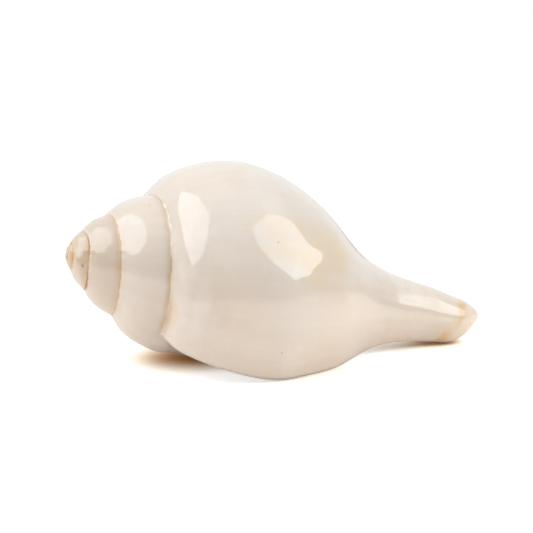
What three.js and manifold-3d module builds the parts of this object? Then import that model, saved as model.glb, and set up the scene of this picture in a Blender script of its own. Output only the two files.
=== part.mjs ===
// Conch shell of the chank kind, lying on its opening. Millimetres, +Z up.
// The spire's tip points along -X and the canal along +X. It winds to the right.
// One solid: the wall, the pillar inside it and the canal grew as one piece.
import * as THREE from 'three';
import Module from 'manifold-3d';

const wasm = await Module();
wasm.setup();

// Seam between the whorls. A turn of 0 is the lip, and earlier turns are negative.
// Distance along the pillar and radius are each exp of a cubic in the turn.
const SEAM_START = -2.73;
const SEAM_ALONG = [3.45, 0.412, -0.201, -0.036];
const SEAM_RADIUS = [3.253, 0.404, -0.02, 0.014];

// How far a whorl bulges between its two seams, as a share of their distance
const BULGE = 0.109;
const BULGE_PLACE = 0.43;

// Outline of the last whorl where the lip stands, from the shoulder to the canal's end:
// distance along the pillar, radius, and how fast each has grown with the seam
const OUTLINE = [
  [61.2, 44.8, 0.93, 1.28],
  [71.5, 41.1, 0.89, 0.98],
  [87.3, 32.2, 0.65, 0.84],
  [103.8, 19.0, 0.55, 0.94],
  [125.9, 10.7, 0.31, 0.42],
  [135.3, 9.0, 0.02, 0.02],
  [142.2, 7.2, 0.01, 0.02],
  [149.0, 2.0, 0.0, 0.0],
];
const CANAL_CAP = [[149.4, 1.0]];
const CANAL_END = 149.5;

// The canal's bend towards the ground: place along the pillar and drop. It swings aside a little
const BEND = [
  [64.0, 0],
  [90.0, -1.05],
  [110.0, -2.6],
  [128.0, -4.3],
  [140.0, -5.2],
  [149.0, -3.1],
];
const BEND_ASIDE = 0.2;

// The lip: its angle around the pillar from straight up, and how it leans along its edge
const LIP_ANGLE = 121.5;
const LIP_LEAN = [0.042, 0.0155, 0.073, 0.061];

// Wall of the shell and its rounded edge at the lip
const WALL = 3.2;
const WALL_AT_CANAL = 2.0;
const LIP_ROUND = 5.0;

// Pillar with its folds, and how far back the hollow follows the turns
const PILLAR_RADIUS = 7.0;
const FOLD_HEIGHT = 1.8;
const FOLD_PITCH = 7.0;
const FOLD_FIRST = 64.0;
const FOLD_LAST = 88.0;
const FOLD_CLIMB = 32.0;
const FOLD_FADE = [-0.97, -0.88];
const HOLLOW_TURNS = 2.0;

// Open channel of the canal: place along the pillar, distance of its middle, radius,
// and how far its far side stands from the lip
const CHANNEL = [
  [97.0, 13.2, 3.0, 4.2],
  [108.0, 10.4, 3.0, 4.4],
  [118.0, 7.2, 3.0, 4.4],
  [127.0, 5.0, 2.8, 4.0],
  [138.0, 4.4, 2.6, 3.6],
  [153.0, 2.2, 2.0, 2.6],
];
const CHANNEL_MOUTH = 0.25;

// The spire's first whorl starts here, at its blunt tip
const FIRST_TURN = -5;
const TIP_ALONG = -0.55;

// Resting pose
const NOSE_DOWN = 9.65;
const ROLL = 0.25;

// Fineness of the facets. The rows next to the lip are in millimetres behind its edge
const ROWS_PER_TURN = 40;
const SPANS_OVER_SPIRE = 5;
const SPANS_OVER_SHOULDER = 8;
const SPANS_OVER_FOLDS = 12;
const SPANS_OVER_NECK = 4;
const SPANS_OVER_CANAL = 4;
const SPANS_OF_WALL = 18;
const LIP_ROWS = [0.3, 1.3, 3.0];
const LIP_ROWS_RADIUS = 40.0;

const TURN = 2 * Math.PI;
const DEG = Math.PI / 180;
const { lerp, clamp, smoothstep } = THREE.MathUtils;

function cubic(c, t) {
  return c[0] + t * (c[1] + t * (c[2] + t * c[3]));
}

function seamAt(t) {
  return [SEAM_START + Math.exp(cubic(SEAM_ALONG, t)), Math.exp(cubic(SEAM_RADIUS, t))];
}

// Key points of a whorl's outline at one turn: seam, bulge, next seam, body and canal.
// Older whorls are cut off at the next seam. Within the shell their outline keeps clear of it
function keysAt(t, within = false) {
  const first = seamAt(t);
  const next = seamAt(t + 1);
  const span = [next[0] - first[0], next[1] - first[1]];
  const bulge = [
    first[0] + BULGE_PLACE * span[0] - BULGE * span[1],
    first[1] + BULGE_PLACE * span[1] + BULGE * span[0],
  ];
  const lip = seamAt(0);
  const from = seamAt(Math.max(t, -1));
  const along = (from[0] - SEAM_START) / (lip[0] - SEAM_START);
  const wide = from[1] / lip[1];
  const alongBefore = (first[0] - SEAM_START) / (from[0] - SEAM_START);
  const wideBefore = first[1] / from[1];
  const rest = OUTLINE.map(([a, r, growAlong, growWide]) => [
    (a - SEAM_START) * along ** growAlong,
    r * wide ** growWide,
  ]);
  if (t >= -1 || !within) {
    return [first, bulge, next, ...rest.map(([a, r]) => [SEAM_START + a * alongBefore, r * wideBefore])];
  }
  const shrink = span[0] / (lip[0] - from[0]);
  const behind = ([a, r]) => [first[0] + (SEAM_START + a - from[0]) * shrink, (r * next[1]) / lip[1]];
  return [first, bulge, next, ...rest.map(behind)];
}

// Smooth curve through values at rising knots, straight beyond both ends
function smoothCurve(knots, values) {
  const last = knots.length - 1;
  const ratio = new Array(last + 1).fill(0);
  const share = new Array(last + 1).fill(0);
  const bend = new Array(last + 1).fill(0);
  for (let i = 1; i < last; i++) {
    const before = knots[i] - knots[i - 1];
    const after = knots[i + 1] - knots[i];
    const turn = (values[i + 1] - values[i]) / after - (values[i] - values[i - 1]) / before;
    const size = 2 * (before + after) - before * ratio[i - 1];
    ratio[i] = after / size;
    share[i] = (6 * turn - before * share[i - 1]) / size;
  }
  for (let i = last - 1; i > 0; i--) {
    bend[i] = share[i] - ratio[i] * bend[i + 1];
  }
  return (s) => {
    let i = 0;
    while (i < last - 1 && s > knots[i + 1]) {
      i += 1;
    }
    const h = knots[i + 1] - knots[i];
    const slope = (values[i + 1] - values[i]) / h;
    if (s < knots[0]) {
      return values[0] + (s - knots[0]) * (slope - (h * bend[1]) / 6);
    }
    const a = (knots[i + 1] - s) / h;
    const b = (s - knots[i]) / h;
    const lift = (a ** 3 - a) * bend[i] + (b ** 3 - b) * bend[i + 1];
    return a * values[i] + b * values[i + 1] + (lift * h * h) / 6;
  };
}

function spacedKnots(keys) {
  const knots = [0];
  for (let i = 1; i < keys.length; i++) {
    const step = Math.hypot(keys[i][0] - keys[i - 1][0], keys[i][1] - keys[i - 1][1]);
    knots.push(knots[i - 1] + step);
  }
  return knots.map((k) => k / knots[knots.length - 1]);
}

const KNOTS = spacedKnots(keysAt(-0.3));
const [CANAL_ALONG, CANAL_WIDE] = outlineAt(0);
const CANAL_DROP = smoothCurve(BEND.map((b) => b[0]), BEND.map((b) => b[1]));

// Places across a whorl: at the next seam, and where the canal closes on itself
const SEAM_PLACE = KNOTS[2];
const CLOSED_PLACE = 0.87;
const FOLD_PLACES = [0.48, 0.72];

function leanAt(s) {
  const c = LIP_LEAN;
  return c[0] * Math.exp(-s / 0.06) + c[1] * s + c[2] * s * s + c[3] * s ** 4;
}

// The rows of facets lean like the lip, but run straight over the spire
function rowTurn(turn, s) {
  const start = leanAt(0);
  const overBody = smoothstep(s, SEAM_PLACE + 0.01, 0.8);
  const late = smoothstep(turn, -1, -0.6);
  return turn + start + (leanAt(s) - start) * lerp(overBody, 1, late);
}

function outlineAt(t, within) {
  const keys = keysAt(t, within);
  return [smoothCurve(KNOTS, keys.map((k) => k[0])), smoothCurve(KNOTS, keys.map((k) => k[1]))];
}

// How much smaller an older whorl is than the last one
function growth(t) {
  return Math.min(1, seamAt(t)[1] / seamAt(0)[1]);
}

// Low folds that wind along the pillar and fade out in front of the lip
function foldHeight(t, a) {
  const place = a - FOLD_CLIMB * (t + 1);
  const within = smoothstep(place, FOLD_FIRST - 2, FOLD_FIRST + 2)
    * (1 - smoothstep(place, FOLD_LAST - 4, FOLD_LAST + 1));
  const wave = 0.5 - 0.5 * Math.cos((TURN * (place - FOLD_FIRST)) / FOLD_PITCH);
  return FOLD_HEIGHT * within * wave * (1 - smoothstep(t, ...FOLD_FADE)) * growth(t + 1);
}

// Point of the outer surface in the half plane through the pillar, with its outward normal
function outerPoint(t, s, within) {
  const [along, wide] = outlineAt(t, within);
  const closed = t < -1 ? 0 : smoothstep(s, 0.8, CLOSED_PLACE);
  const step = 0.002;
  const da = along(s + step) - along(s - step);
  const dr = wide(s + step) - wide(s - step);
  const size = Math.hypot(da, dr);
  const a = lerp(along(s), CANAL_ALONG(s), closed);
  const r = lerp(wide(s), CANAL_WIDE(s), closed) + foldHeight(t, a);
  return { a, r, na: -dr / size, nr: da / size };
}

// Radius of the outer surface at a place along the pillar, and none beyond its end
function outerRadius(t, a) {
  const [along, wide] = outlineAt(t, true);
  if (a >= along(1)) {
    return 0;
  }
  let low = 0;
  let high = 1;
  for (let i = 0; i < 26; i++) {
    const middle = (low + high) / 2;
    if (along(middle) < a) {
      low = middle;
    } else {
      high = middle;
    }
  }
  return wide(low) + foldHeight(t, a);
}

// From the half plane at turn t to the shell's own frame, with the bent canal
function inSpace(t, a, r) {
  const phi = LIP_ANGLE * DEG + TURN * t;
  const drop = a > BEND[0][0] ? CANAL_DROP(a) : 0;
  return [a, -r * Math.sin(phi) + BEND_ASIDE * drop, r * Math.cos(phi) + drop];
}

// A surface grown triangle by triangle, with each point stored once
class Skin {
  coordinates = [];
  triangles = [];

  point(t, a, r) {
    this.coordinates.push(...inSpace(t, a, r));
    return this.coordinates.length / 3 - 1;
  }

  facet(a, b, c) {
    if (a !== b && b !== c && c !== a) {
      this.triangles.push(a, b, c);
    }
  }

  // Strip between two rows of points with their own counts
  strip(rowA, rowB) {
    let i = 0;
    let k = 0;
    while (i < rowA.length - 1 || k < rowB.length - 1) {
      const nextA = (i + 1) / (rowA.length - 1);
      const nextB = (k + 1) / (rowB.length - 1);
      if (k === rowB.length - 1 || (i < rowA.length - 1 && nextA <= nextB)) {
        this.facet(rowA[i], rowA[i + 1], rowB[k]);
        i += 1;
      } else {
        this.facet(rowA[i], rowB[k + 1], rowB[k]);
        k += 1;
      }
    }
  }

  solid() {
    const at = (i) => new THREE.Vector3().fromArray(this.coordinates, 3 * i);
    let volume = 0;
    for (let i = 0; i < this.triangles.length; i += 3) {
      const [a, b, c] = this.triangles.slice(i, i + 3).map(at);
      volume += a.dot(b.cross(c));
    }
    const order = volume < 0 ? [...this.triangles].reverse() : this.triangles;
    return new wasm.Manifold(new wasm.Mesh({
      numProp: 3,
      vertProperties: Float32Array.from(this.coordinates),
      triVerts: Uint32Array.from(order),
    }));
  }
}

// Places across a whorl where the facets meet, closest together over the folds
const SECTIONS = [
  [SPANS_OVER_SPIRE, 0, SEAM_PLACE],
  [SPANS_OVER_SHOULDER, SEAM_PLACE, FOLD_PLACES[0]],
  [SPANS_OVER_FOLDS, FOLD_PLACES[0], FOLD_PLACES[1]],
  [SPANS_OVER_NECK, FOLD_PLACES[1], CLOSED_PLACE],
  [SPANS_OVER_CANAL, CLOSED_PLACE, 1],
];
const PLACES = [0];
for (const [count, from, to] of SECTIONS) {
  for (let i = 1; i <= count; i++) {
    PLACES.push(lerp(from, to, i / count));
  }
}
const SEAM_POINT = SPANS_OVER_SPIRE;
const CLOSED_POINT = PLACES.length - 1 - SPANS_OVER_CANAL;

function pointOnWhorl(skin, turn, s) {
  const t = rowTurn(turn, s);
  const p = outerPoint(t, s);
  return skin.point(t, p.a, p.r);
}

// Outside of the shell, wound from the spire's tip to the lip
function outerSheet(skin) {
  const rows = new Map();
  const first = FIRST_TURN * ROWS_PER_TURN;
  for (let j = 0; j >= first; j--) {
    const row = [];
    const count = j < -ROWS_PER_TURN ? SEAM_POINT : PLACES.length;
    for (let i = 0; i < count; i++) {
      row.push(pointOnWhorl(skin, j / ROWS_PER_TURN, PLACES[i]));
    }
    rows.set(j, row);
  }
  const lip = rows.get(0);
  const start = rows.get(-ROWS_PER_TURN);
  for (let i = CLOSED_POINT; i < PLACES.length; i++) {
    lip[i] = start[i];
  }
  for (let j = first; j <= -ROWS_PER_TURN; j++) {
    rows.get(j)[SEAM_POINT] = rows.get(j + ROWS_PER_TURN)[0];
  }
  for (let j = first; j < 0; j++) {
    const count = j < -ROWS_PER_TURN ? SEAM_POINT + 1 : PLACES.length;
    skin.strip(rows.get(j).slice(0, count), rows.get(j + 1).slice(0, count));
  }

  // Blunt tip of the spire
  const tip = skin.point(0, TIP_ALONG, 0);
  for (let j = first; j < first + ROWS_PER_TURN; j++) {
    skin.facet(tip, rows.get(j)[0], rows.get(j + 1)[0]);
  }
  const opening = rows.get(first);
  for (let i = 0; i < SEAM_POINT; i++) {
    skin.facet(tip, opening[i + 1], opening[i]);
  }

  // Rounded end of the canal
  let edge = [];
  for (let j = -ROWS_PER_TURN; j < 0; j++) {
    edge.push(rows.get(j)[PLACES.length - 1]);
  }
  const facing = (j) => rowTurn(j / ROWS_PER_TURN, 1);
  for (const [a, r] of CANAL_CAP) {
    const next = edge.map((_, k) => skin.point(facing(k - ROWS_PER_TURN), a, r));
    skin.strip([...next, next[0]], [...edge, edge[0]]);
    edge = next;
  }
  const end = skin.point(0, CANAL_END, 0);
  edge.forEach((point, k) => skin.facet(edge[(k + 1) % edge.length], point, end));
  return { lip, start };
}

// What the hollow winds around: the whorl before, and the pillar
function innerRadius(t, a) {
  return Math.max(outerRadius(t - 1, a), PILLAR_RADIUS * growth(t) ** 0.8);
}

// Inner face of the wall, rounding off to nothing at the lip
function wallPoint(turn, s) {
  const t = rowTurn(turn, s);
  const p = outerPoint(t, s, true);
  const back = clamp((-turn * TURN * Math.max(p.r, 14)) / LIP_ROUND, 0, 1);
  const full = lerp(WALL, WALL_AT_CANAL, smoothstep(s, 0.35, 0.8)) * growth(t) ** 0.6;
  const thick = full * Math.sqrt(1 - (1 - back) ** 2);
  return { t, a: p.a - p.na * thick, r: p.r - p.nr * thick };
}

// The places where the wall's inner face leaves what the hollow winds around, and meets it again
function hollowCorners(turn) {
  const gap = (s) => {
    const p = wallPoint(turn, s);
    return p.r - innerRadius(p.t, p.a);
  };
  const refine = (low, high) => {
    const rising = gap(high) > gap(low);
    for (let i = 0; i < 22; i++) {
      const middle = (low + high) / 2;
      if (gap(middle) > 0 === rising) {
        high = middle;
      } else {
        low = middle;
      }
    }
    return (low + high) / 2;
  };
  const steps = 60;
  let s = 0.25;
  while (gap(s) > 0) {
    s -= 1 / steps;
  }
  const upper = refine(s, s + 1 / steps);
  s = 0.3;
  while (gap(s) > 0) {
    s += 1 / steps;
  }
  return [upper, refine(s - 1 / steps, s)];
}

// Hollow inside the last whorl, from the lip back along the turns
function hollowSheet(skin, lip, start) {
  const innerCount = CLOSED_POINT - SEAM_POINT + 1;
  const startAlong = PLACES.slice(SEAM_POINT, CLOSED_POINT + 1).map((s) => outerPoint(rowTurn(-1, s), s).a);
  const share = startAlong.map((a) => (a - startAlong[0]) / (startAlong[innerCount - 1] - startAlong[0]));
  let wall = lip.slice(0, CLOSED_POINT + 1);
  let core = start.slice(SEAM_POINT, CLOSED_POINT + 1);
  const lipTurns = LIP_ROWS.map((back) => -back / (TURN * LIP_ROWS_RADIUS));
  const turns = [...lipTurns];
  for (let j = 1; j <= HOLLOW_TURNS * ROWS_PER_TURN; j++) {
    const nearLip = j <= ROWS_PER_TURN / 2;
    if (nearLip || j % 4 === 0 || (j < ROWS_PER_TURN && j % 2 === 0)) {
      turns.push(-j / ROWS_PER_TURN);
    }
  }
  for (const turn of turns) {
    const [upper, lower] = hollowCorners(turn);
    const nextWall = [];
    let from;
    let to;
    for (let i = 0; i <= SPANS_OF_WALL; i++) {
      const p = wallPoint(turn, lerp(upper, lower, i / SPANS_OF_WALL));
      nextWall.push(skin.point(p.t, p.a, p.r));
      from = i === 0 ? p : from;
      to = p;
    }
    const nextCore = share.map((part, k) => {
      if (k === 0) {
        return nextWall[0];
      }
      if (k === innerCount - 1) {
        return nextWall[SPANS_OF_WALL];
      }
      const a = lerp(from.a, to.a, part);
      const t = lerp(from.t, to.t, part);
      return skin.point(t, a, innerRadius(t, a));
    });
    skin.strip(wall, nextWall);
    skin.strip(nextCore, core);
    wall = nextWall;
    core = nextCore;
  }
  skin.strip(wall, core);
}

// Open channel along the canal: a tube under the lip, open on the side away from it
function canalChannel() {
  const channel = new Skin();
  const places = CHANNEL.map((c) => c[0]);
  const [middles, radii, sides] = [1, 2, 3].map((k) => smoothCurve(places, CHANNEL.map((c) => c[k])));
  const rings = [];
  const first = places[0];
  const last = places[places.length - 1];
  for (let j = 0; j <= 13; j++) {
    const a = lerp(first, last, j / 13);
    const turn = leanAt(lerp(0.62, 1, clamp((a - first) / (148 - first), 0, 1)));
    const v = middles(a);
    const r = radii(a);
    const side = sides(a);
    const section = [
      [CHANNEL_MOUTH, 30], [CHANNEL_MOUTH, v + 0.97 * r], [-0.5 * r, v + 0.87 * r],
      [-0.97 * r, v + 0.25 * r], [-0.82 * r, v - 0.57 * r], [-0.3 * r, v - 0.95 * r],
      [0.4 * r, v - 0.92 * r], [0.95 * r, v - 0.4 * r], [side, v + 0.4 * r], [side + 0.6, 30],
    ];
    rings.push(section.map(([x, y]) => channel.point(turn + Math.atan2(x, y) / TURN, a, Math.hypot(x, y))));
  }
  for (let j = 0; j + 1 < rings.length; j++) {
    channel.strip([...rings[j], rings[j][0]], [...rings[j + 1], rings[j + 1][0]]);
  }
  for (const ring of [[...rings[0]].reverse(), rings[rings.length - 1]]) {
    channel.strip(ring.slice(0, 5), ring.slice(5).reverse());
  }
  return channel.solid();
}

// The whole shell in its own frame
function shellSolid() {
  const skin = new Skin();
  const { lip, start } = outerSheet(skin);
  hollowSheet(skin, lip, start);
  return skin.solid().subtract(canalChannel());
}

// Turned to how it lies and set down with the middle of its base at the origin
function asGeometry(solid) {
  const mesh = solid.getMesh();
  const geometry = new THREE.BufferGeometry();
  const numbers = Float32Array.from(mesh.vertProperties);
  geometry.setAttribute('position', new THREE.BufferAttribute(numbers, 3));
  geometry.setIndex(Array.from(mesh.triVerts));
  geometry.rotateX(ROLL * DEG);
  geometry.rotateY(NOSE_DOWN * DEG);
  geometry.computeBoundingBox();
  const box = geometry.boundingBox;
  geometry.translate(-(box.min.x + box.max.x) / 2, -(box.min.y + box.max.y) / 2, -box.min.z);
  geometry.computeVertexNormals();
  return geometry;
}

const porcelain = new THREE.MeshStandardMaterial({ color: '#e2d4c4', roughness: 0.28, metalness: 0 });

const conch = new THREE.Group();
const shell = new THREE.Mesh(asGeometry(shellSolid()), porcelain);
shell.name = 'shell';
conch.add(shell);

export default conch;
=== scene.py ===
from math import cos, pi, radians, sin

import bpy
import numpy as np
from mathutils import Matrix, Vector


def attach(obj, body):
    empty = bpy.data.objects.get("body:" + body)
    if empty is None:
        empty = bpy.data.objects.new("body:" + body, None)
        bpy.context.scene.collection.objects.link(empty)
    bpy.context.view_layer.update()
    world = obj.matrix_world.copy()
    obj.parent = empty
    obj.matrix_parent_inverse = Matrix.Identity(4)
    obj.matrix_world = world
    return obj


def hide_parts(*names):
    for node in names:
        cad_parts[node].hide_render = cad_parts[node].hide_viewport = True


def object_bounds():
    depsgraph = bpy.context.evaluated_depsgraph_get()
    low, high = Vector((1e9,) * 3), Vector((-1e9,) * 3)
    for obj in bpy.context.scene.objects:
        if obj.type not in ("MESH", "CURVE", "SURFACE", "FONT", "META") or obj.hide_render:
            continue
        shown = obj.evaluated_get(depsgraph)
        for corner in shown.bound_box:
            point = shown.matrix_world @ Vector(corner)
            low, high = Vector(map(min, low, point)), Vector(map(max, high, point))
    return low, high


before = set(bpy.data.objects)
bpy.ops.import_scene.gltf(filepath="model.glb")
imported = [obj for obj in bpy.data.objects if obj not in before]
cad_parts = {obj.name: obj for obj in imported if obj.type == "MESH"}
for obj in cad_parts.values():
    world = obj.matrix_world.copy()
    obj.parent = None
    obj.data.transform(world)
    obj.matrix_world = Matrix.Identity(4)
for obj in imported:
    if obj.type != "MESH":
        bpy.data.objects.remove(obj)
CAD_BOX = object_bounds()

# Seam between the whorls, in millimetres and in turns counted back from the lip
SEAM_START = -2.73
SEAM_ALONG = (3.45, 0.412, -0.201, -0.036)
SEAM_RADIUS = (3.253, 0.404, -0.02, 0.014)
BULGE = 0.109
BULGE_PLACE = 0.43

# Outline at the lip past the seam: along, radius, and how both grow over the last turn
OUTLINE = np.array([
    (61.2, 44.8, 0.93, 1.28),
    (71.5, 41.1, 0.89, 0.98),
    (87.3, 32.2, 0.65, 0.84),
    (103.8, 19.0, 0.55, 0.94),
    (125.9, 10.7, 0.31, 0.42),
    (135.3, 9.0, 0.02, 0.02),
    (142.2, 7.2, 0.01, 0.02),
    (149.0, 2.0, 0.0, 0.0),
])

# End of the canal, and how far it bends down over its length and aside with each millimetre down
CANAL_CAP = ((149.2, 1.55), (149.38, 1.05), (149.47, 0.5))
CANAL_END = 149.5
BEND = np.array([(64.0, 0), (90.0, -1.05), (110.0, -2.6), (128.0, -4.3), (140.0, -5.2), (149.0, -3.1)])
BEND_ASIDE = 0.2

# Lip, wall, pillar with its winding folds, and hollow
LIP_ANGLE = 121.5
LIP_LEAN = (0.042, 0.0155, 0.073, 0.061)
WALL = 3.2
WALL_AT_CANAL = 2.0
LIP_ROUND = 5.0
PILLAR_RADIUS = 7.0
FOLD_HEIGHT = 1.8
FOLD_PITCH = 7.0
FOLD_FIRST = 64.0
FOLD_LAST = 88.0
FOLD_CLIMB = 32.0
FOLD_FADE = (-0.97, -0.88)
HOLLOW_TURNS = 2.0
WALL_THINS = (0.35, 0.8)
LEAST_LIP_RADIUS = 14

# Hollow beside the lip: distances of its first rows from it, in millimetres on the last whorl
BODY_RADIUS = 40.0
ROWS_BESIDE_LIP = (0.06, 0.2, 0.5, 0.9, 1.5, 2.2, 3.0, 4.0, 5.2)
INSIDE_FADE = 2.5
CORNER_STEPS = 60

# Tube of the channel: along, distance of its middle from the pillar's line, radius, far side
CHANNEL = np.array([
    (97.0, 13.2, 3.0, 4.2),
    (108.0, 10.4, 3.0, 4.4),
    (118.0, 7.2, 3.0, 4.4),
    (127.0, 5.0, 2.8, 4.0),
    (138.0, 4.4, 2.6, 3.6),
    (153.0, 2.2, 2.0, 2.6),
])

# Rest of the tube: its mouth's half width, how far out it reaches, the angles round its bottom in degrees,
# the place on the outline whose lean it starts with and how much further it goes, and its spans
CHANNEL_MOUTH = 0.25
CHANNEL_TOP = 30.0
CHANNEL_BOTTOM = range(-28, -221, -24)
CHANNEL_PLACES = (0.62, 0.38)
CHANNEL_LEANS_TO = 148
CHANNEL_SPANS = 60

# Spire's first turn and tip, and the place on the outline past which the canal is one closed tube
FIRST_TURN = -5
TIP_ALONG = -0.55
TIP_FROM_SEAM = 9.0
CLOSED_PLACE = 0.87
TURN = 2 * pi

# How the shell lies, in degrees
NOSE_DOWN = 9.65
ROLL = 0.25

# Length of the last whorl's outline between its seams, and the distance that stands for no seam near
WHORL_LENGTH = 44.0
FAR = 99.0

# Small wander of the seams: waves in a turn, start, height
SEAM_WAVES = (
    (17.0, 1.0, 0.12),
    (29.3, 2.2, 0.1),
    (47.7, 0.4, 0.07),
)
SEAM_WANDER_WIDTH = 1.6

# Relief of the surface: where it is full, its share at the tip, and the beads, lines and swells in it
FULL_RELIEF_RADIUS = 24.0
TIP_RELIEF = 0.45
RIM_CREST = 0.45
RIM_END = 1.6
BEADS_PER_TURN = 42.0
BEAD_HEIGHTS = (0.25, 1.6)
LINES_PER_TURN = 60.0
LINE_LENGTHS = 3.0
UNEVEN_SCALE = 0.075

# Small marks: turn and how wide, place and how wide, how dark
MARKED_SPOTS = (
    (-0.154, 0.0014, 0.234, 0.0025, 0.45),
    (-0.028, 0.0012, 0.253, 0.0022, 0.35),
    (-1.263, 0.0040, 0.080, 0.004, 0.22),
    (-3.047, 0.0120, 0.074, 0.008, 0.8),
    (-3.214, 0.0180, 0.105, 0.012, 0.3),
    (-3.304, 0.0220, 0.093, 0.016, 0.3),
)

# How fine the rows and spans of the mesh are
ROWS_PER_TURN = 220
SPANS_OVER_SPIRE = 28
SPANS_OVER_BODY = 80
SPANS_OVER_CANAL = 12
HOLLOW_ROWS_PER_TURN = 84

# Fit into the solid's box, in shares of its size and in metres above the floor
FIT_SHARE = 0.9995
FLOOR_GAP = 2e-6

# Light of the room and of the softboxes, where 1 is the white behind the shell, with sizes in metres
ROOM_FRONT = 0.03
ROOM_BACK = 0.92
ROOM_ABOVE = 0.92
BOX_GLOW = 2.62
BOX_COLOUR = (0.96, 1.0, 1.05, 1)
BOX_DISTANCE = 0.60
BOX_SIDES = 8
BOX_AIM = (0, 0, 0.03)

# Softboxes: name, azimuth and elevation in degrees, width, height, tilt in degrees
SOFTBOXES = (
    ("left softbox", -93, 40.5, 0.74, 0.62, 0),
    ("right softbox", 50, 37, 0.82, 0.58, -38),
)

# White floor in metres: how near a surface has to be to shade it, and its colours from shaded to open
FLOOR_CORNERS = ((-4, -3, 0), (4, -3, 0), (4, 5, 0), (-4, 5, 0))
SHADE_REACH = 0.015
SHADE_STOPS = ((0.05, (0.66, 0.27, 0.07, 1)), (0.3, (0.85, 0.75, 0.62, 1)), (0.68, (0.94, 0.94, 0.94, 1)))
BOUNCE_NEAR = (0.97, 0.90, 0.825, 1)
BOUNCE_FAR = (0.36, 0.33, 0.30, 1)
BOUNCE_FADE = (0.10, 0.60)

# Camera of the photograph: degrees, millimetres, and its focal length in pixels of the photograph's side
CAMERA_AZIMUTH = 19.491
CAMERA_ELEVATION = 9.641
CAMERA_ROLL = 0.986
CAMERA_DISTANCE = 393.844
CAMERA_TARGET = (-8.354, -0.481, 30.72)
FOCAL_PIXELS = 1196.9
PHOTO_SIDE = 533
SENSOR_WIDTH = 36


def smoothstep(x, low, high):
    x = np.clip((np.asarray(x, float) - low) / (high - low), 0, 1)
    return x * x * (3 - 2 * x)


def cubic(c, t):
    return c[0] + t * (c[1] + t * (c[2] + t * c[3]))


def seam_at(t):
    """Place along the pillar and radius of the seam."""
    t = np.asarray(t, float)
    return np.stack([SEAM_START + np.exp(cubic(SEAM_ALONG, t)), np.exp(cubic(SEAM_RADIUS, t))], -1)


def keys_at(t, within=False):
    """Key points of a whorl's outline: seam, bulge, next seam, body and canal. Older whorls end at the
    next seam. With within, their outline past it is drawn in, to keep clear of the whorls after it."""
    t = np.asarray(t, float)
    first, after = seam_at(t), seam_at(t + 1)
    span = after - first
    bulge = first + BULGE_PLACE * span + BULGE * np.stack([-span[..., 1], span[..., 0]], -1)
    lip, start = seam_at(0.0), seam_at(np.maximum(t, -1))
    along = (start[..., 0] - SEAM_START) / (lip[0] - SEAM_START)
    wide = start[..., 1] / lip[1]
    along_before = (first[..., 0] - SEAM_START) / (start[..., 0] - SEAM_START)
    wide_before = first[..., 1] / start[..., 1]
    a = (OUTLINE[:, 0] - SEAM_START) * along[..., None] ** OUTLINE[:, 2]
    r = OUTLINE[:, 1] * wide[..., None] ** OUTLINE[:, 3]
    rest = np.stack([SEAM_START + a * along_before[..., None], r * wide_before[..., None]], -1)
    if within:
        shrink = (span[..., 0] / (lip[0] - start[..., 0]))[..., None]
        behind_a = first[..., :1] + (SEAM_START + a - start[..., :1]) * shrink
        behind = np.stack([behind_a, r * after[..., 1:] / lip[1]], -1)
        rest = np.where((t < -1)[..., None, None], behind, rest)
    return np.concatenate([first[..., None, :], bulge[..., None, :], after[..., None, :], rest], -2)


def shares(knots, s):
    """Share of each key in a smooth curve through them, straight before the first."""
    n = len(knots)
    h = np.diff(knots)
    left = np.eye(n)
    right = np.zeros((n, n))
    for i in range(1, n - 1):
        left[i, i - 1:i + 2] = h[i - 1], 2 * (h[i - 1] + h[i]), h[i]
        right[i, i - 1:i + 2] = 6 / h[i - 1], -6 / h[i - 1] - 6 / h[i], 6 / h[i]
    bend = np.linalg.solve(left, right)
    s = np.asarray(s, float)
    i = np.clip(np.searchsorted(knots, s, side="right") - 1, 0, n - 2)
    step = h[i]
    a, b = (knots[i + 1] - s) / step, (s - knots[i]) / step
    eye = np.eye(n)
    share = a[..., None] * eye[i] + b[..., None] * eye[i + 1]
    share += ((a ** 3 - a) * step ** 2 / 6)[..., None] * bend[i]
    share += ((b ** 3 - b) * step ** 2 / 6)[..., None] * bend[i + 1]
    low = s < knots[0]
    slope = (eye[1] - eye[0]) / h[0] - h[0] * bend[1] / 6
    share[low] = eye[0] + (s[low] - knots[0])[..., None] * slope
    return share


def outline_knots():
    steps = np.hypot(*np.diff(keys_at(-0.3), axis=0).T)
    knots = np.concatenate([[0], np.cumsum(steps)])
    return knots / knots[-1]


KNOTS = outline_knots()
SEAM_PLACE = KNOTS[2]
LIP_KEYS = keys_at(0.0)


def lean_at(s):
    c = LIP_LEAN
    return c[0] * np.exp(-s / 0.06) + c[1] * s + c[2] * s * s + c[3] * s ** 4


def row_turn(turn, s):
    """Rows lean like the lip over the body, and run straight over the spire."""
    start = LIP_LEAN[0]
    over = smoothstep(s, SEAM_PLACE + 0.01, 0.8)
    late = smoothstep(turn, -1, -0.6)
    return turn + start + (lean_at(s) - start) * (over + (1 - over) * late)


def growth(t):
    return np.minimum(1, np.exp(cubic(SEAM_RADIUS, t) - SEAM_RADIUS[0]))


def fold_height(t, a):
    """Low folds that wind along the pillar and fade out in front of the lip."""
    place = a - FOLD_CLIMB * (t + 1)
    within = smoothstep(place, FOLD_FIRST - 2, FOLD_FIRST + 2)
    within = within * (1 - smoothstep(place, FOLD_LAST - 4, FOLD_LAST + 1))
    wave = 0.5 - 0.5 * np.cos(TURN * (place - FOLD_FIRST) / FOLD_PITCH)
    return FOLD_HEIGHT * within * wave * (1 - smoothstep(t, *FOLD_FADE)) * growth(t + 1)


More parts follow.
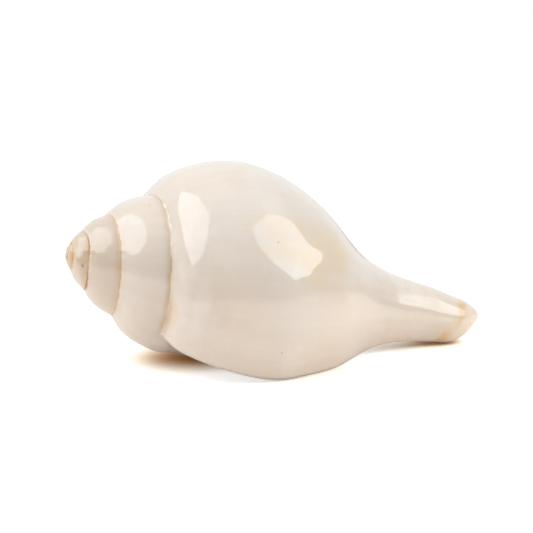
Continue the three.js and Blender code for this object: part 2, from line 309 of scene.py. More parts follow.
def outer(t, s, within=False):
    """Outer surface beside the pillar: along, radius, and the two parts of its outward normal."""
    t, s = np.broadcast_arrays(np.asarray(t, float), np.asarray(s, float))
    keys = keys_at(t, within)
    share = shares(KNOTS, s)
    p = np.einsum("...k,...kc->...c", share, keys)
    canal = np.einsum("...k,kc->...c", share, LIP_KEYS)
    closed = np.where(t < -1, 0, smoothstep(s, 0.8, CLOSED_PLACE))[..., None]
    step = 0.002
    d = np.einsum("...k,...kc->...c", shares(KNOTS, s + step) - shares(KNOTS, s - step), keys)
    d /= np.linalg.norm(d, axis=-1, keepdims=True)
    p = p + (canal - p) * closed
    return p[..., 0], p[..., 1] + fold_height(t, p[..., 0]), -d[..., 1], d[..., 0]


def outer_radius(t, a):
    """Radius of the outer surface at a place along the pillar, and none past its end."""
    keys = keys_at(t, True)

    def curve(s, part):
        return np.einsum("...k,...k->...", shares(KNOTS, s), keys[..., part])

    low, high = np.zeros_like(a), np.ones_like(a)
    for _ in range(24):
        middle = (low + high) / 2
        less = curve(middle, 0) < a
        low, high = np.where(less, middle, low), np.where(less, high, middle)
    return np.where(a >= keys[..., -1, 0], 0, curve(low, 1) + fold_height(t, a))


def inner_radius(t, a):
    """What the hollow winds around: the whorl before, and the pillar."""
    return np.maximum(outer_radius(t - 1, a), PILLAR_RADIUS * growth(t) ** 0.8)


def wall_point(turn, s):
    """Inner face of the wall, rounding off to nothing at the lip."""
    t = row_turn(turn, s)
    a, r, na, nr = outer(t, s, True)
    back = np.clip(-turn * TURN * np.maximum(r, LEAST_LIP_RADIUS) / LIP_ROUND, 0, 1)
    full = (WALL + (WALL_AT_CANAL - WALL) * smoothstep(s, *WALL_THINS)) * growth(t) ** 0.6
    thick = full * np.sqrt(1 - (1 - back) ** 2)
    return t, a - na * thick, r - nr * thick


def hollow_corners(turn):
    """Where the wall's inner face leaves what the hollow winds around, and meets it again."""
    def gap(s):
        t, a, r = wall_point(turn, s)
        return r - inner_radius(t, a)

    def refine(within, beyond):
        for _ in range(20):
            middle = (within + beyond) / 2
            inside = gap(middle) > 0
            within, beyond = np.where(inside, middle, within), np.where(inside, beyond, middle)
        return (within + beyond) / 2

    def leaves(places):
        open_here = np.stack([gap(np.full(len(turn), s)) > 0 for s in places], 1)
        k = np.argmin(open_here, 1)
        return refine(places[k - 1], places[k])

    return leaves(0.25 - np.arange(26) / CORNER_STEPS), leaves(0.3 + np.arange(42) / CORNER_STEPS)


def canal_drop(a):
    """Rise of the bent canal at a place along the pillar, below zero where it goes down."""
    return np.where(a > BEND[0, 0], shares(BEND[:, 0], a) @ BEND[:, 1], 0)


class Sheet:
    """A surface grown row by row. A point holds its turn, place along the pillar and radius."""

    def __init__(self):
        self.points, self.marks, self.faces, self.count = [], [], [], 0

    def add(self, t, a, r, place=0.0, inner=0.0, from_seam=0.0, groove=0.0):
        """Points with their marks. Returns their numbers, in the shape that the values have together."""
        marks = (t, a, r, place, inner, from_seam, groove)
        columns = np.broadcast_arrays(*(np.asarray(mark, float) for mark in marks))
        number = np.arange(columns[0].size).reshape(columns[0].shape) + self.count
        self.count += columns[0].size
        self.points.append(np.stack([c.ravel() for c in columns], 1))
        return number

    def quads(self, rows):
        """Four-sided faces between rows of points."""
        a, b, c, d = rows[:-1, :-1], rows[:-1, 1:], rows[1:, 1:], rows[1:, :-1]
        self.faces += np.stack([a.ravel(), b.ravel(), c.ravel(), d.ravel()], 1).tolist()

    def strip(self, row_a, row_b):
        """Triangles between two rows that may have different counts of points."""
        last_a, last_b = len(row_a) - 1, len(row_b) - 1
        i = k = 0
        while i < last_a or k < last_b:
            if k == last_b or (i < last_a and (i + 1) * last_b <= (k + 1) * last_a):
                self.faces.append([row_a[i], row_a[i + 1], row_b[k]])
                i += 1
            else:
                self.faces.append([row_a[i], row_b[k + 1], row_b[k]])
                k += 1

    def mesh(self, name, positions):
        """Plain mesh of the faces, without those that have shrunk to a line, facing outwards."""
        faces = []
        for face in self.faces:
            kept = [v for i, v in enumerate(face) if v != face[i - 1]]
            if len(set(kept)) > 2:
                faces.append(kept)
        if volume(positions, faces) < 0:
            faces = [face[::-1] for face in faces]
        used = np.zeros(len(positions), bool)
        for face in faces:
            used[face] = True
        number = np.cumsum(used) - 1
        renumbered = [[int(number[v]) for v in face] for face in faces]
        mesh = bpy.data.meshes.new(name)
        mesh.from_pydata(positions[used].tolist(), [], renumbered)
        return mesh, used


def volume(positions, faces):
    """Six times the volume that the faces hold, which is below zero where they point inwards."""
    total = 0.0
    for size in (3, 4):
        group = np.array([f for f in faces if len(f) == size])
        if len(group):
            corners = positions[group]
            for k in range(1, size - 1):
                total += np.einsum("ij,ij->", corners[:, 0], np.cross(corners[:, k], corners[:, k + 1]))
    return total


def even(count):
    """Even steps from 0 to 1."""
    return np.linspace(0, 1, count + 1)


def crowded_ends(count):
    """Steps from 0 to 1 that are shorter near both ends."""
    u = even(count)
    return 0.35 * u + 0.65 * (0.5 - 0.5 * np.cos(pi * u))


PLACES = np.concatenate([
    SEAM_PLACE * crowded_ends(SPANS_OVER_SPIRE),
    SEAM_PLACE + (CLOSED_PLACE - SEAM_PLACE) * even(SPANS_OVER_BODY)[1:],
    CLOSED_PLACE + (1 - CLOSED_PLACE) * even(SPANS_OVER_CANAL)[1:],
])
SEAM_POINT = SPANS_OVER_SPIRE
CLOSED_POINT = SPANS_OVER_SPIRE + SPANS_OVER_BODY


def seam_wander(t):
    """Small wander of the seam along the pillar, for the seam of the whorl at turn t."""
    waves = (high * np.sin(TURN * often * t + start) for often, start, high in SEAM_WAVES)
    return growth(t) * sum(waves)


def outer_sheet(sheet):
    """Outside of the shell, from the spire's tip to the lip, with its tip and canal closed.
    Returns the rows of points at the lip and one turn before it."""
    rows = ROWS_PER_TURN
    turns = np.arange(FIRST_TURN * rows, 1) / rows
    t = row_turn(turns[:, None], PLACES[None, :])
    a, r, _, _ = outer(t, PLACES[None, :])
    length = WHORL_LENGTH * growth(t)
    from_seam = PLACES[None, :] / SEAM_PLACE * length
    to_seam = np.abs(SEAM_PLACE - PLACES[None, :]) / SEAM_PLACE * length
    over_spire = turns[:, None] < -1 + 0.5 / rows
    to_seam = np.where(over_spire, to_seam, FAR)
    a = a + seam_wander(t) * np.exp(-(from_seam / SEAM_WANDER_WIDTH) ** 2)
    a = a + seam_wander(t + 1) * np.exp(-(to_seam / SEAM_WANDER_WIDTH) ** 2)
    groove = np.minimum(to_seam, np.where(from_seam < 1e-6, 0.0, FAR))
    number = sheet.add(t, a, r, PLACES[None, :], 0.0, from_seam, groove)
    body = number[-rows - 1:]
    body[-1, CLOSED_POINT:] = body[0, CLOSED_POINT:]
    spire = number[:-rows, :SEAM_POINT + 1]
    spire[:, SEAM_POINT] = number[rows:, 0]
    sheet.quads(spire)
    sheet.quads(body)

    tip = sheet.add(0.0, TIP_ALONG, 0.0, 0.0, 0.0, TIP_FROM_SEAM, FAR).item()
    first = number[:rows + 1, 0]
    sheet.faces += [[tip, int(first[j]), int(first[j + 1])] for j in range(rows)]
    across = spire[0]
    sheet.faces += [[tip, int(across[i + 1]), int(across[i])] for i in range(SEAM_POINT)]

    edge = body[:-1, -1]
    facing = t[-rows - 1:-1, -1]
    for along, radius in CANAL_CAP:
        ring = sheet.add(facing, along, radius, 1.0, 0.0, FAR, FAR)
        sheet.quads(np.stack([np.append(ring, ring[0]), np.append(edge, edge[0])]))
        edge = ring
    end = sheet.add(0.0, CANAL_END, 0.0, 1.0, 0.0, FAR, FAR).item()
    sheet.faces += [[int(edge[(k + 1) % len(edge)]), int(edge[k]), end] for k in range(len(edge))]
    return body[-1], body[0]


def hollow_sheet(sheet, lip, start):
    """Hollow inside the last whorls: the wall's inner face and what it winds around."""
    near = -np.array(ROWS_BESIDE_LIP) / (TURN * BODY_RADIUS)
    steps = np.arange(2, round(HOLLOW_TURNS * HOLLOW_ROWS_PER_TURN) + 1) / HOLLOW_ROWS_PER_TURN
    turns = np.concatenate([near, -steps])
    upper, lower = hollow_corners(turns)
    share = PLACES[:CLOSED_POINT + 1] / CLOSED_PLACE
    s = upper[:, None] + (lower - upper)[:, None] * share
    t, a, r = wall_point(np.broadcast_to(turns[:, None], s.shape), s)
    inside = 1 - np.exp(turns[:, None] * TURN * BODY_RADIUS / INSIDE_FADE)
    wall = sheet.add(t, a, r, s, inside, FAR, FAR)

    body = PLACES[SEAM_POINT:CLOSED_POINT + 1]
    start_t = row_turn(-1.0, body)
    along = outer(start_t, body)[0]
    part = (along - along[0]) / (along[-1] - along[0])
    bow = start_t - start_t[0] - (start_t[-1] - start_t[0]) * part
    core_a = a[:, :1] + (a[:, -1:] - a[:, :1]) * part
    core_t = t[:, :1] + (t[:, -1:] - t[:, :1]) * part + bow
    core = sheet.add(core_t, core_a, inner_radius(core_t, core_a), 0.5, inside, FAR, FAR)
    core[:, 0] = wall[:, 0]
    core[:, -1] = wall[:, -1]
    sheet.quads(np.concatenate([lip[None, :CLOSED_POINT + 1], wall]))
    sheet.quads(np.concatenate([start[None, SEAM_POINT:CLOSED_POINT + 1], core])[::-1])
    sheet.strip(wall[-1].tolist(), core[-1].tolist())


def channel_sheet():
    """The tube that opens the canal along its lip side."""
    sheet = Sheet()
    first, last = CHANNEL[0, 0], CHANNEL[-1, 0]
    a = first + (last - first) * even(CHANNEL_SPANS)
    v, r, side = (shares(CHANNEL[:, 0], a) @ CHANNEL[:, k] for k in (1, 2, 3))
    first_place, further = CHANNEL_PLACES
    turn = lean_at(first_place + further * np.clip((a - first) / (CHANNEL_LEANS_TO - first), 0, 1))
    mouth, top = np.full_like(a, CHANNEL_MOUTH), np.full_like(a, CHANNEL_TOP)
    x = [mouth, mouth]
    y = [top, v + 0.97 * r]
    for turned in np.radians(CHANNEL_BOTTOM):
        x.append(r * np.sin(turned))
        y.append(v + r * np.cos(turned))
    x += [0.95 * r, side, side + 0.6]
    y += [v - 0.4 * r, v + 0.4 * r, top]
    x, y = np.stack(x, 1), np.stack(y, 1)
    rings = sheet.add(turn[:, None] + np.arctan2(x, y) / TURN, a[:, None], np.hypot(x, y))
    sheet.quads(np.concatenate([rings, rings[:, :1]], 1))
    half = rings.shape[1] // 2
    for ring in (rings[0][::-1], rings[-1]):
        sheet.strip(ring[:half].tolist(), ring[half:][::-1].tolist())
    return sheet


MARKS = ("turn", "along", "radius", "place", "inner", "from_seam", "groove")


def flat_mesh(name, sheet):
    """Mesh of a sheet with each mark as an attribute, for the tree that winds it. Its points already lie
    wound, so that the faces can be turned outwards, and the tree places them again from the marks."""
    table = np.concatenate(sheet.points)
    t, a, r = table[:, 0], table[:, 1], table[:, 2]
    phi = radians(LIP_ANGLE) + TURN * t
    drop = canal_drop(a)
    placed = np.stack([a, -r * np.sin(phi) + BEND_ASIDE * drop, r * np.cos(phi) + drop], 1)
    mesh, used = sheet.mesh(name, placed)
    for mark, values in zip(MARKS + ("drop",), [*table.T, drop]):
        attribute = mesh.attributes.new(mark, "FLOAT", "POINT")
        attribute.data.foreach_set("value", values[used].astype(np.float32))
    return mesh


class Tree:
    """Short calls for building a node tree."""

    def __init__(self, name, kind, inputs=(), outputs=()):
        self.tree = bpy.data.node_groups.new(name, kind) if isinstance(name, str) else name
        for label, socket, value in inputs:
            made = self.tree.interface.new_socket(label, in_out="INPUT", socket_type=socket)
            if value is not None:
                made.default_value = value
        for label, socket in outputs:
            self.tree.interface.new_socket(label, in_out="OUTPUT", socket_type=socket)

    def add(self, kind, *links, **settings):
        """A node with its settings, and its inputs in order: sockets are linked, values are set."""
        node = self.tree.nodes.new(kind)
        for key, value in settings.items():
            setattr(node, key, value)
        inputs = [s for s in node.inputs if s.enabled]
        for socket, source in zip(inputs, links):
            self.feed(socket, source)
        return node

    def feed(self, socket, source):
        """Links a node or a socket, or sets a value. None leaves the socket as it is."""
        if source is None:
            return
        if hasattr(source, "outputs"):
            source = next(s for s in source.outputs if s.enabled)
        if isinstance(source, bpy.types.NodeSocket):
            self.tree.links.new(source, socket)
        else:
            socket.default_value = source

    def math(self, operation, *links):
        return self.add("ShaderNodeMath", *links, operation=operation)

    def vector(self, operation, *links):
        return self.add("ShaderNodeVectorMath", *links, operation=operation)

    def times(self, first, second):
        return self.math("MULTIPLY", first, second)

    def plus(self, first, second):
        return self.math("ADD", first, second)

    def ramp(self, value, low, high, to_low=0.0, to_high=1.0):
        """Smooth step from to_low to to_high between low and high."""
        links = (value, low, high, to_low, to_high)
        return self.add("ShaderNodeMapRange", *links, interpolation_type="SMOOTHSTEP")

    def fade(self, value, low, high):
        """Smooth step from 1 down to 0 between low and high."""
        return self.ramp(value, low, high, 1.0, 0.0)

    def noise(self, dimensions, scale, detail, roughness=0.5, vector=None, number=None):
        node = self.add("ShaderNodeTexNoise", noise_dimensions=dimensions)
        settings = {"Vector": vector, "W": number, "Scale": scale, "Detail": detail, "Roughness": roughness}
        for name, value in settings.items():
            if value is not None:
                self.feed(node.inputs[name], value)
        return node.outputs[0]

    def mix(self, share, first, second):
        """The first colour with a share of the second."""
        node = self.add("ShaderNodeMix", data_type="RGBA")
        for number, source in ((0, share), (6, first), (7, second)):
            self.feed(node.inputs[number], source)
        return node.outputs[2]


def winding_tree(material):
    """Winds the flat sheet around the pillar, lays the shell down, and raises its relief."""
    w = Tree("wind the shell", "GeometryNodeTree", [
        ("Sheet", "NodeSocketGeometry", None),
        ("Channel", "NodeSocketObject", None),
        ("Lip angle", "NodeSocketFloat", LIP_ANGLE),
        ("Canal swing", "NodeSocketFloat", BEND_ASIDE),
        ("Roll", "NodeSocketFloat", ROLL),
        ("Nose down", "NodeSocketFloat", NOSE_DOWN),
        ("Rim height", "NodeSocketFloat", 0.15),
        ("Rim width", "NodeSocketFloat", 1.5),
        ("Seam fill", "NodeSocketFloat", 0.25),
        ("Seam width", "NodeSocketFloat", 1.1),
        ("Unevenness", "NodeSocketFloat", 0.34),
        ("Growth lines", "NodeSocketFloat", 0.05),
        ("Seed", "NodeSocketFloat", 4.0),
    ], [("Shell", "NodeSocketGeometry")])
    given = w.tree.nodes.new("NodeGroupInput")
    value = {s.name: s for s in given.outputs}

    def mark(name):
        return w.add("GeometryNodeInputNamedAttribute", name, data_type="FLOAT")

    def wound(geometry):
        drop = mark("drop")
        phi = w.math("MULTIPLY_ADD", mark("turn"), TURN, w.math("RADIANS", value["Lip angle"]))
        out = w.times(mark("radius"), -1.0)
        y = w.math("MULTIPLY_ADD", out, w.math("SINE", phi), w.times(value["Canal swing"], drop))
        z = w.math("MULTIPLY_ADD", mark("radius"), w.math("COSINE", phi), drop)
        place = w.add("ShaderNodeCombineXYZ", mark("along"), y, z)
        return w.add("GeometryNodeSetPosition", geometry, None, place)

    def laid_down(geometry):
        position = w.add("GeometryNodeInputPosition")
        rolled = w.add("ShaderNodeVectorRotate", position, None, None, rotation_type="X_AXIS")
        w.feed(rolled.inputs["Angle"], w.math("RADIANS", value["Roll"]))
        lowered = w.add("ShaderNodeVectorRotate", rolled, None, None, rotation_type="Y_AXIS")
        w.feed(lowered.inputs["Angle"], w.math("RADIANS", value["Nose down"]))
        return w.add("GeometryNodeSetPosition", geometry, None, lowered)

    def relief():
        """Height of the beaded rim under each seam, the fill in its crease, broad unevenness and lines."""
        position = w.add("GeometryNodeInputPosition")
        size = w.ramp(mark("radius"), 0.0, FULL_RELIEF_RADIUS, TIP_RELIEF, 1.0)
        outside = w.math("SUBTRACT", 1.0, mark("inner"))
        across_rim = w.math("DIVIDE", mark("from_seam"), value["Rim width"])
        crest = w.times(w.ramp(across_rim, 0.0, RIM_CREST), w.fade(across_rim, RIM_CREST, RIM_END))
        beads = w.noise("1D", 1.0, 2.0, number=w.times(mark("turn"), BEADS_PER_TURN))
        crest = w.times(crest, w.ramp(beads, 0.3, 0.7, *BEAD_HEIGHTS))
        rim = w.times(crest, value["Rim height"])
        across_seam = w.math("DIVIDE", mark("groove"), value["Seam width"])
        fill = w.times(w.fade(across_seam, 0.0, 1.0), value["Seam fill"])
        broad = w.noise("4D", UNEVEN_SCALE, 1.5, vector=position, number=value["Seed"])
        broad = w.times(w.math("SUBTRACT", broad, 0.5), value["Unevenness"])
        along_line = w.times(mark("place"), LINE_LENGTHS)
        grown = w.add("ShaderNodeCombineXYZ", w.times(mark("turn"), LINES_PER_TURN), along_line, 0.0)
        lines = w.noise("2D", 1.0, 3.0, vector=grown)
        lines = w.times(w.math("SUBTRACT", lines, 0.5), value["Growth lines"])
        height = w.plus(w.plus(rim, fill), w.plus(broad, lines))
        return w.times(w.times(height, outside), size)

    shell = laid_down(wound(value["Sheet"]))
    raised = w.vector("SCALE", w.add("GeometryNodeInputNormal"))
    w.feed(raised.inputs["Scale"], relief())
    shell = w.add("GeometryNodeSetPosition", shell, None, None, raised)
    cutter = w.add("GeometryNodeObjectInfo", value["Channel"])
    cutter = laid_down(wound(cutter.outputs["Geometry"]))
    cut = w.add("GeometryNodeMeshBoolean", operation="DIFFERENCE", solver="MANIFOLD")
    w.tree.links.new(shell.outputs[0], cut.inputs[0])
    w.tree.links.new(cutter.outputs[0], cut.inputs[1])
    smooth = w.add("GeometryNodeSetShadeSmooth", cut.outputs["Mesh"])
    finished = w.add("GeometryNodeSetMaterial", smooth)
    finished.inputs["Material"].default_value = material
    real = w.add("GeometryNodeRealizeInstances", finished)
    w.tree.links.new(real.outputs[0], w.add("NodeGroupOutput").inputs[0])
    return w.tree


def wound_shell(material):
    """The whole shell as one plain mesh, fitted inside the solid's box."""
    sheet = Sheet()
    lip, start = outer_sheet(sheet)
    hollow_sheet(sheet, lip, start)
    flat = bpy.data.objects.new("flat sheet", flat_mesh("flat sheet", sheet))
    channel = bpy.data.objects.new("channel", flat_mesh("channel", channel_sheet()))
    for thing in (flat, channel):
        bpy.context.scene.collection.objects.link(thing)
    modifier = flat.modifiers.new("wind", "NODES")
    modifier.node_group = winding_tree(material)
    sockets = {s.name: s.identifier for s in modifier.node_group.interface.items_tree}
    modifier[sockets["Channel"]] = channel
    seen = bpy.context.evaluated_depsgraph_get()
    mesh = bpy.data.meshes.new_from_object(flat.evaluated_get(seen), depsgraph=seen)
    for thing in (flat, channel):
        bpy.data.objects.remove(thing)

    points = np.empty(3 * len(mesh.vertices))
    mesh.vertices.foreach_get("co", points)
    points = points.reshape(-1, 3)
    low, high = points.min(0), points.max(0)
    box_low, box_high = np.array(CAD_BOX[0]), np.array(CAD_BOX[1])
    scale = FIT_SHARE * ((box_high - box_low) / (high - low)).min()
    middle = (low + high) / 2
    target = (box_low + box_high) / 2
    points = (points - middle) * scale + target
    points[:, 2] += box_low[2] + FLOOR_GAP - points[:, 2].min()
    mesh.vertices.foreach_set("co", points.ravel())
    mesh.update()
    mesh.name = "conch"
    conch = bpy.data.objects.new("conch", mesh)
    bpy.context.scene.collection.objects.link(conch)
    return conch


def rgb(red, green, blue):
    """Colour of a screen value, 0 to 255, as the light it stands for."""
    part = [c / 255 for c in (red, green, blue)]
    return tuple(c / 12.92 if c <= 0.04045 else ((c + 0.055) / 1.055) ** 2.4 for c in part) + (1.0,)


# Colours of the shell
CREAM = rgb(227, 217, 206)
WARM_CREAM = rgb(232, 218, 202)
BROAD_STREAK = rgb(222, 205, 187)
FINE_STREAK = rgb(233, 223, 212)
DULL_MOTTLE = rgb(216, 202, 190)
PALE_MOTTLE = rgb(236, 227, 216)
OLD_SPIRE = rgb(209, 190, 169)
TAN = rgb(228, 206, 170)
SEAM_TAN = rgb(222, 188, 142)
# Painted highlight of a low ridge near the lip, which the mesh does not have
PAINTED_RIDGE_HIGHLIGHT = rgb(242, 232, 222)
MARK_BROWN = rgb(150, 104, 66)
PALE_RIM = rgb(245, 235, 222)
# Tan stain with painted shade where a whorl curves in to the seam
CREASE_STAIN_AND_SHADE = rgb(208, 178, 138)
STAIN_BELOW = rgb(222, 194, 152)
SEAM_STAIN = rgb(205, 156, 104)
CORNER_STAIN = rgb(206, 156, 100)
CANAL_TIP = rgb(238, 216, 192)
CANAL_STAIN = rgb(226, 186, 130)
APEX_STAIN = rgb(218, 188, 144)
HOLLOW_ROSE = rgb(240, 222, 205)
SPECK_BROWN = rgb(150, 105, 66)

# Patches of colour: turn and how wide, place and how wide, how ragged, how strong, colour
PATCHES = (
    (-1.17, 0.05, 0.14, 0.05, 0.6, 0.4, TAN),
    (-0.034, 0.034, 0.035, 0.03, 0.7, 0.4, SEAM_TAN),
    # Painted highlight: a pale band where a low ridge beside the lip would catch the light
    (-0.06, 0.05, 0.11, 0.02, 0.15, 0.3, PAINTED_RIDGE_HIGHLIGHT),
)
TAN_PATCH = (-0.165, 0.072, 0.34, 0.14, 0.7)
CORNER_PATCH = (-0.02, 0.05, 0.0, 0.03, 0.3)
SPOT_RAGGED = 0.1

# Constant values of the shell's finish
SHELL_FINISH = {
    "IOR": 1.52,
    "Specular IOR Level": 0.3,
    "Coat Roughness": 0.035,
    "Coat IOR": 1.65,
    "Subsurface Weight": 0.18,
    "Subsurface Radius": (1.0, 0.62, 0.4),
    "Subsurface Scale": 0.003,
}


class ShellPaint(Tree):
    """The shell's material tree, with the sheet's marks, the noises that its parts share and the colour
    so far, which each part lays its own colours over."""

    def __init__(self, node_tree):
        super().__init__(node_tree, None)
        self.object_place = self.add("ShaderNodeTexCoord").outputs["Object"]
        self.turn, self.place, self.along = map(self.mark, ("turn", "place", "along"))
        self.inner, self.from_seam, self.groove = map(self.mark, ("inner", "from_seam", "groove"))
        self.cloud = self.clouds(90.0, 3.0)
        self.mottle = self.clouds(60.0, 4.0, 0.6)
        self.streak = self.streaks(34.0, 1.6, 4.0)
        self.fine = self.streaks(150.0, 4.0, 2.0)
        self.colour = CREAM

    def mark(self, name):
        return self.add("ShaderNodeAttribute", attribute_name=name).outputs["Fac"]

    def clouds(self, scale, detail, roughness=0.5):
        return self.noise("3D", scale, detail, roughness, self.object_place)

    def streaks(self, across, along, detail):
        """Noise drawn out along the lines of growth."""
        way = (self.times(self.turn, across), self.times(self.place, along), 0.0)
        way = self.add("ShaderNodeCombineXYZ", *way)
        return self.noise("2D", 1.0, detail, 0.6, way)

    def patch(self, turn_at, turn_wide, place_at, place_wide, ragged):
        """Soft oval patch at a turn and a place, with a ragged edge."""
        x = self.math("DIVIDE", self.math("SUBTRACT", self.turn, turn_at), turn_wide)
        y = self.math("DIVIDE", self.math("SUBTRACT", self.place, place_at), place_wide)
        far = self.math("SQRT", self.plus(self.times(x, x), self.times(y, y)))
        far = self.plus(far, self.times(self.math("SUBTRACT", self.cloud, 0.5), ragged * 3))
        return self.times(self.fade(far, 0.35, 1.2), self.math("SUBTRACT", 1.0, self.inner))

    def lay(self, colour, share, strength=None):
        """Lays a colour over the colour so far."""
        if strength is not None:
            share = self.times(share, strength)
        self.colour = self.mix(share, self.colour, colour)


def paint_growth(m):
    """Cream with growth streaks and mottling, and browner towards the spire's tip."""
    m.lay(WARM_CREAM, m.ramp(m.clouds(22.0, 2.0), 0.4, 0.6))
    m.lay(BROAD_STREAK, m.ramp(m.streak, 0.35, 0.75), 0.35)
    m.lay(FINE_STREAK, m.ramp(m.fine, 0.45, 0.8), 0.3)
    m.lay(DULL_MOTTLE, m.ramp(m.mottle, 0.52, 0.68), 0.38)
    m.lay(PALE_MOTTLE, m.fade(m.mottle, 0.34, 0.46), 0.36)
    m.lay(OLD_SPIRE, m.ramp(m.turn, -2.6, -0.9, 0.85, 0.15))


def paint_patches(m):
    """The tan patch on the last whorl, smaller patches, one of them a painted highlight along a low ridge
    near the lip, and the small marks.
    """
    m.lay(TAN, m.patch(*TAN_PATCH), m.ramp(m.streak, 0.35, 0.6, 0.15, 0.6))
    for *oval, strength, colour in PATCHES:
        m.lay(colour, m.patch(*oval), strength)
    for *oval, dark in MARKED_SPOTS:
        m.lay(MARK_BROWN, m.patch(*oval, SPOT_RAGGED), dark)


def paint_seams(m):
    """A pale rim under each seam, orange-brown stains in and beside it, painted shade where the whorl above
    curves in to it, and the lip's stained corner.
    """
    m.lay(PALE_RIM, m.times(m.ramp(m.from_seam, 0.2, 0.7), m.fade(m.from_seam, 1.0, 2.4)), 0.28)
    seam_cloud = m.ramp(m.clouds(260.0, 3.0), 0.3, 0.7, 0.45, 1.0)
    # Painted shade with a tan stain over the whorl above each seam, fading within about 4 mm of it
    m.lay(CREASE_STAIN_AND_SHADE, m.times(m.fade(m.groove, 0.2, 4.2), 0.85), seam_cloud)
    m.lay(STAIN_BELOW, m.times(m.fade(m.from_seam, 0.4, 3.6), 0.42), seam_cloud)
    m.lay(SEAM_STAIN, m.times(m.fade(m.groove, 0.2, 1.3), 0.75), seam_cloud)
    m.lay(CORNER_STAIN, m.patch(*CORNER_PATCH), 0.4)


def paint_ends(m):
    """A slanting ragged stain near the canal's end, and the stained tip of the spire."""
    slant = m.math("SINE", m.times(m.plus(m.turn, 0.13), TURN))
    ragged = m.times(m.math("SUBTRACT", m.cloud, 0.5), 7.0)
    band = m.math("MULTIPLY_ADD", slant, 4.8, m.plus(m.along, ragged))
    patchy = m.ramp(m.clouds(150.0, 2.0), 0.38, 0.62, 0.2, 1.0)
    stain = m.times(m.ramp(band, 133.0, 136.0), m.fade(band, 137.0, 140.5))
    m.lay(CANAL_TIP, m.ramp(band, 137.0, 143.0), 0.55)
    m.lay(CANAL_STAIN, m.times(stain, patchy), 0.85)
    m.lay(APEX_STAIN, m.fade(m.along, -0.6, 3.5), 0.55)


def paint_specks(m):
    """A few brown specks, in the cells that a random value picks."""
    specks = m.add("ShaderNodeTexVoronoi", feature="F1")
    m.feed(specks.inputs["Vector"], m.object_place)
    specks.inputs["Scale"].default_value = 130.0
    dots = m.fade(specks.outputs["Distance"], 0.03, 0.06)
    chosen = m.add("ShaderNodeSeparateColor", specks.outputs["Color"]).outputs[0]
    m.lay(SPECK_BROWN, m.times(dots, m.ramp(chosen, 0.9, 0.94)), 0.6)


def polish(m, surface):
    """Roughness, the clear coat, worn towards the canal, and the fine relief under it."""
    wear = m.math("MULTIPLY_ADD", m.ramp(m.cloud, 0.3, 0.7), 0.12, 0.34)
    m.feed(surface.inputs["Roughness"], m.plus(wear, m.times(m.fade(m.groove, 0.3, 1.5), 0.25)))
    worn = m.times(m.ramp(m.along, 98.0, 116.0), m.ramp(m.cloud, 0.42, 0.6, 0.0, 0.6))
    m.feed(surface.inputs["Coat Weight"], m.math("SUBTRACT", m.ramp(m.mottle, 0.42, 0.7, 1.0, 0.8), worn))
    for name, value in SHELL_FINISH.items():
        surface.inputs[name].default_value = value

    relief = m.plus(m.times(m.fine, 0.4), m.times(m.clouds(420.0, 3.0), 0.6))
    relief = m.plus(relief, m.times(m.clouds(140.0, 2.0), 2.0))
    bump = m.add("ShaderNodeBump")
    bump.inputs["Strength"].default_value = 0.2
    bump.inputs["Distance"].default_value = 0.0002
    m.feed(bump.inputs["Height"], relief)
    m.feed(surface.inputs["Normal"], bump)


def shell_material():
    """Polished shell: cream with growth streaks, a tan patch, orange-brown seams with painted shade beside
    them, a painted ridge highlight near the lip, and stained ends.
    """
    material = bpy.data.materials.new("polished shell")
    material.use_nodes = True
    surface = material.node_tree.nodes["Principled BSDF"]
    m = ShellPaint(material.node_tree)
    paint_growth(m)
    paint_patches(m)
    paint_seams(m)
    paint_ends(m)
    m.lay(HOLLOW_ROSE, m.inner, 0.8)
    paint_specks(m)
    m.feed(surface.inputs["Base Color"], m.colour)
    polish(m, surface)
    return material


def floor_material():
    """White paper that glows a little, as on a light table, with a painted warm-brown contact shadow and
    less glow close to the shell.
    To anything but the camera it darkens with distance, so that no horizon shows in the polish."""
    white = bpy.data.materials.new("white floor")
    white.use_nodes = True
    paper = white.node_tree.nodes["Principled BSDF"]
    p = Tree(white.node_tree, None)
    openness = p.add("ShaderNodeAmbientOcclusion", samples=16)
    openness.inputs["Distance"].default_value = SHADE_REACH
    # Painted contact shadow: warm brown where the shell is near, white in the open
    painted_shadow = p.add("ShaderNodeValToRGB", openness.outputs["AO"])
    stops = painted_shadow.color_ramp.elements
    stops.new(SHADE_STOPS[1][0])
    for stop, (position, colour) in zip(stops, SHADE_STOPS):
        stop.position, stop.color = position, colour
    seen = p.add("ShaderNodeLightPath").outputs["Is Camera Ray"]
    away = p.vector("LENGTH", p.add("ShaderNodeTexCoord").outputs["Object"]).outputs["Value"]
    bounced = p.mix(p.ramp(away, *BOUNCE_FADE), BOUNCE_NEAR, BOUNCE_FAR)
    p.feed(paper.inputs["Base Color"], p.mix(seen, bounced, painted_shadow))
    paper.inputs["Roughness"].default_value = 0.8
    paper.inputs["Specular IOR Level"].default_value = 0.0
    p.feed(paper.inputs["Emission Color"], painted_shadow)
    # The glow is lowered where the shell is near, which deepens the painted contact shadow
    glow = p.times(p.ramp(openness.outputs["AO"], 0.04, 0.75, 0.2, 1.0), p.ramp(seen, 0.0, 1.0, 0.02, 0.75))
    p.feed(paper.inputs["Emission Strength"], glow)
    return white


def floor():
    """Plain white studio floor."""
    mesh = bpy.data.meshes.new("floor")
    mesh.from_pydata(FLOOR_CORNERS, [], [(0, 1, 2, 3)])
    mesh.materials.append(floor_material())
    thing = bpy.data.objects.new("floor", mesh)
    bpy.context.scene.collection.objects.link(thing)


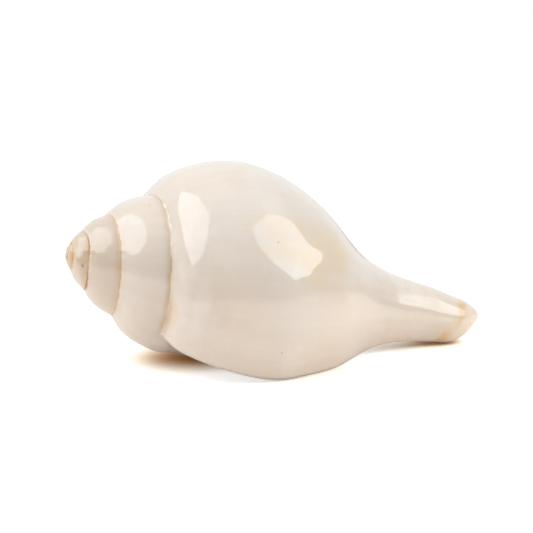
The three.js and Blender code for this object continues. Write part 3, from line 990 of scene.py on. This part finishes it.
def softbox(name, azimuth, elevation, wide, tall, tilt):
    """Eight-sided softbox facing the shell. The azimuth is counted from the front towards the right."""
    az, el = radians(azimuth), radians(elevation)
    aim = Vector(BOX_AIM)
    place = aim + BOX_DISTANCE * Vector((sin(az) * cos(el), -cos(az) * cos(el), sin(el)))
    turned = (aim - place).to_track_quat("-Z", "Y").to_matrix().to_4x4()
    turn = Matrix.Rotation(radians(tilt), 4, "Z")
    angles = [TURN * (k + 0.5) / BOX_SIDES for k in range(BOX_SIDES)]
    corners = [turn @ Vector((wide / 2 * cos(angle), tall / 2 * sin(angle), 0)) for angle in angles]
    mesh = bpy.data.meshes.new(name)
    whole = Matrix.Translation(place) @ turned
    mesh.from_pydata([whole @ corner for corner in corners], [], [tuple(range(BOX_SIDES))[::-1]])
    lit = bpy.data.materials.new(name)
    lit.use_nodes = True
    nodes, links = lit.node_tree.nodes, lit.node_tree.links
    nodes.remove(nodes["Principled BSDF"])
    glowing = nodes.new("ShaderNodeEmission")
    glowing.inputs["Color"].default_value = BOX_COLOUR
    glowing.inputs["Strength"].default_value = BOX_GLOW
    links.new(glowing.outputs[0], nodes["Material Output"].inputs["Surface"])
    mesh.materials.append(lit)
    thing = bpy.data.objects.new(name, mesh)
    bpy.context.scene.collection.objects.link(thing)
    thing.visible_camera = False


def studio():
    """A room that is white behind and above, dimmer towards the camera, with a softbox at either side."""
    world = bpy.data.worlds.new("white room")
    world.use_nodes = True
    w = Tree(world.node_tree, None)
    room = world.node_tree.nodes["Background"]
    room.inputs["Color"].default_value = (1, 1, 1, 1)
    way = w.add("ShaderNodeSeparateXYZ", w.add("ShaderNodeTexCoord").outputs["Generated"])
    back = w.ramp(way.outputs["Y"], -0.3, 0.8, ROOM_FRONT, ROOM_BACK)
    above = w.ramp(way.outputs["Z"], 0.2, 1.0, 0.0, ROOM_ABOVE)
    lit = w.math("MAXIMUM", back, w.plus(above, ROOM_FRONT))
    seen = w.add("ShaderNodeLightPath").outputs["Is Camera Ray"]
    w.feed(room.inputs["Strength"], w.math("MAXIMUM", lit, seen))
    bpy.context.scene.world = world
    for box in SOFTBOXES:
        softbox(*box)
    floor()


def camera():
    """Camera of the photograph."""
    azimuth, elevation, roll = radians(CAMERA_AZIMUTH), radians(CAMERA_ELEVATION), radians(CAMERA_ROLL)
    ahead = Vector((sin(azimuth) * cos(elevation), cos(azimuth) * cos(elevation), -sin(elevation)))
    right = Vector((cos(azimuth), -sin(azimuth), 0))
    up = right.cross(ahead)
    across = right * cos(roll) + up * sin(roll)
    above = up * cos(roll) - right * sin(roll)
    turned = Matrix((across, above, -ahead)).transposed().to_4x4()
    data = bpy.data.cameras.new("camera")
    data.sensor_width = SENSOR_WIDTH
    data.lens = FOCAL_PIXELS * SENSOR_WIDTH / PHOTO_SIDE
    data.clip_start = 0.01
    thing = bpy.data.objects.new("camera", data)
    place = (Vector(CAMERA_TARGET) - ahead * CAMERA_DISTANCE) / 1000
    thing.matrix_world = Matrix.Translation(place) @ turned
    bpy.context.scene.collection.objects.link(thing)
    bpy.context.scene.camera = thing


camera()
studio()
conch = wound_shell(shell_material())
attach(conch, "root")
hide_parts("shell")
bpy.context.scene.view_settings.view_transform = "Standard"
